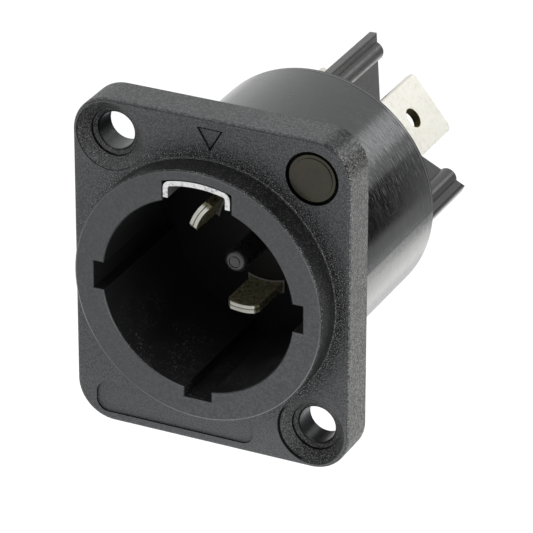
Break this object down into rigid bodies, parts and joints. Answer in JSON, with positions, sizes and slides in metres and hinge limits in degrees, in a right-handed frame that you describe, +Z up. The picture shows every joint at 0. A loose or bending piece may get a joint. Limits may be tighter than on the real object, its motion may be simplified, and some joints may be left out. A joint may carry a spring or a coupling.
{
  "type": "appliance inlet",
  "caption": "Round keyed power inlet with a rectangular screw flange, raised collar, deep socket, round barrel and flat rear tabs between profiled dividers.",
  "frame": {"origin": "centre of the flange's rear face, on the socket axis, where the flange lies on the panel", "axes": "+Y along the barrel, from the flange back through the panel to the tabs, so the socket opens towards -Y; +Z up, towards the wide keyway; +X to the right seen from the front"},
  "size_m": [0.026, 0.0376, 0.031],
  "materials": {
    "housing_plastic": "spark-eroded satin black",
    "carrier_plastic": "smooth satin black",
    "contact_metal": "silver plated strip",
    "latch_steel": "bright rolled sheet",
    "badge_gloss": "polished"
  },
  "bodies": {
    "root": {"housing": "housing_plastic", "contact_carrier": "carrier_plastic", "line_contact": "contact_metal", "neutral_contact": "contact_metal", "earth_contact": "contact_metal", "latch_plate": "latch_steel", "badge_disc": "badge_gloss"}
  },
  "joints": []
}
